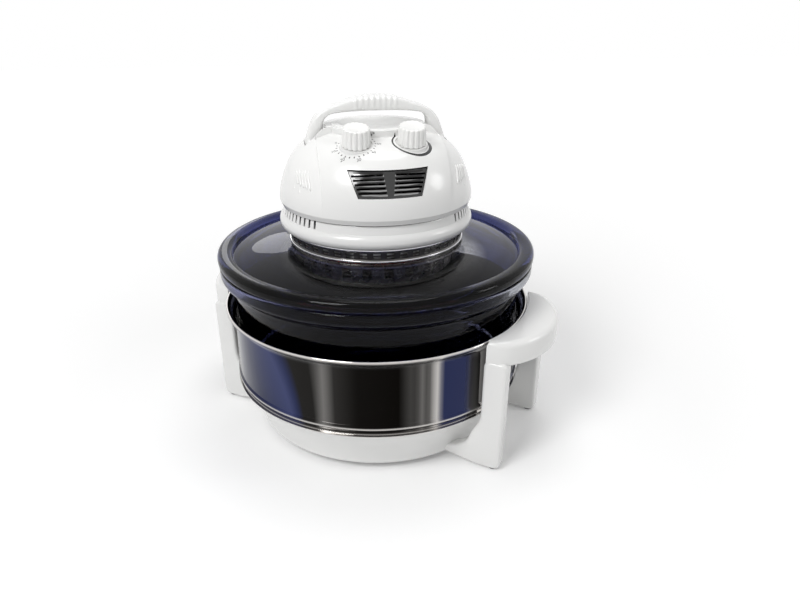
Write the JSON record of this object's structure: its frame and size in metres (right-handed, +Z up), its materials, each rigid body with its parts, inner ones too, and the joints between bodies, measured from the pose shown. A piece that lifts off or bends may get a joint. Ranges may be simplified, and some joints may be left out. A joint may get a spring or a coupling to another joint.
{
  "type": "halogen oven",
  "caption": "Countertop halogen oven: glass bowl in a steel ring on a moulded stand, lift-off glass lid with domed fan head, two dials and a tilting bail handle.",
  "frame": {"origin": "on the resting plane under the oven's axis", "axes": "+Z up along the oven's axis, head with dials and grille facing -Y"},
  "size_m": [0.3578, 0.3302, 0.3488],
  "materials": {
    "base_stand": "glossy moulded white plastic",
    "rubber_feet": "matt",
    "bowl_pads": "matt silicone",
    "extender_ring": "mirror-polished stainless steel",
    "glass_bowl": "smoky glass with a navy cast",
    "lid_glass": "smoky glass with a navy cast",
    "lower_trim_ring": "polished",
    "collar_band": "dark perforated steel",
    "upper_trim_ring": "polished",
    "lower_housing": "glossy moulded white plastic",
    "upper_housing": "glossy moulded white plastic",
    "crown_cap": "glossy moulded white plastic",
    "front_grille": "dark chromed plastic",
    "handle_bail": "glossy moulded white plastic",
    "handle_pivots": "turned",
    "switch_cam": "natural nylon",
    "safety_switch": "black",
    "switch_plunger": "red button",
    "timer_knob": "satin white plastic",
    "temperature_knob": "satin white plastic",
    "timer_spindle": "turned",
    "thermostat_spindle": "turned",
    "timer_body": "plated case",
    "thermostat_body": "ceramic-filled case",
    "heat_shield": "pressed sheet",
    "neck_gasket": "silicone",
    "glass_clamp_ring": "pressed",
    "heater_guard": "plated pressed steel",
    "halogen_lamp": "quartz tube",
    "lamp_holders": "ceramic",
    "lamp_clips": "spring steel",
    "motor_shaft": "ground",
    "motor_rotor": "laminated",
    "convection_fan": "pressed sheet",
    "fan_nut": "plated",
    "cooling_fan": "pressed sheet",
    "motor_stator": "laminated",
    "motor_coil": "taped winding",
    "motor_brackets": "pressed",
    "motor_posts": "turned",
    "motor_screws": "plated",
    "housing_screws": "plated",
    "terminal_block": "natural",
    "cord_grommet": "white"
  },
  "bodies": {
    "stand": {"base_stand": "base_stand", "rubber_feet": "rubber_feet", "bowl_pads": "bowl_pads"},
    "ring": {"extender_ring": "extender_ring"},
    "bowl": {"glass_bowl": "glass_bowl"},
    "handle": {"handle_bail": "handle_bail", "handle_pivots": "handle_pivots", "switch_cam": "switch_cam"},
    "plunger": {"switch_plunger": "switch_plunger"},
    "timer_dial": {"timer_knob": "timer_knob", "timer_spindle": "timer_spindle"},
    "temperature_dial": {"temperature_knob": "temperature_knob", "thermostat_spindle": "thermostat_spindle"},
    "rotor": {"motor_shaft": "motor_shaft", "motor_rotor": "motor_rotor", "convection_fan": "convection_fan", "cooling_fan": "cooling_fan", "fan_nut": "fan_nut"},
    "lid": {"lid_glass": "lid_glass", "lower_trim_ring": "lower_trim_ring", "collar_band": "collar_band", "upper_trim_ring": "upper_trim_ring", "lower_housing": "lower_housing", "upper_housing": "upper_housing", "crown_cap": "crown_cap", "front_grille": "front_grille", "safety_switch": "safety_switch", "timer_body": "timer_body", "thermostat_body": "thermostat_body", "heat_shield": "heat_shield", "neck_gasket": "neck_gasket", "glass_clamp_ring": "glass_clamp_ring", "heater_guard": "heater_guard", "halogen_lamp": "halogen_lamp", "lamp_holders": "lamp_holders", "lamp_clips": "lamp_clips", "motor_stator": "motor_stator", "motor_coil": "motor_coil", "motor_brackets": "motor_brackets", "motor_posts": "motor_posts", "motor_screws": "motor_screws", "housing_screws": "housing_screws", "terminal_block": "terminal_block", "cord_grommet": "cord_grommet"}
  },
  "joints": [
    {"name": "ring_lift", "type": "slide", "parent": "stand", "child": "ring", "axis": [0, 0, 1], "range_m": [0, 0.1]},
    {"name": "bowl_lift", "type": "slide", "parent": "ring", "child": "bowl", "axis": [0, 0, 1], "range_m": [0, 0.13]},
    {"name": "lid_lift", "type": "slide", "parent": "bowl", "child": "lid", "axis": [0, 0, 1], "range_m": [0, 0.06]},
    {"name": "handle_tilt", "type": "hinge", "parent": "lid", "child": "handle", "pos_m": [0, 0, 0.3], "axis": [-1, 0, 0], "range_deg": [0, 28]},
    {"name": "switch_press", "type": "slide", "parent": "lid", "child": "plunger", "axis": [0, 0, -1], "range_m": [0, 0.0016]},
    {"name": "timer_turn", "type": "hinge", "parent": "lid", "child": "timer_dial", "pos_m": [-0.026, -0.056, 0.3102], "axis": [0, -0.2419, 0.9703], "range_deg": [0, 300]},
    {"name": "temperature_turn", "type": "hinge", "parent": "lid", "child": "temperature_dial", "pos_m": [0.026, -0.056, 0.3102], "axis": [0, -0.2419, 0.9703], "range_deg": [0, 270]},
    {"name": "fan_spin", "type": "hinge", "parent": "lid", "child": "rotor", "pos_m": [0, 0, 0.247], "axis": [0, 0, 1], "continuous": true}
  ],
  "couplings": [
    {"joint": "switch_press", "follows": "handle_tilt", "m_per_rad": 0.003274}
  ]
}
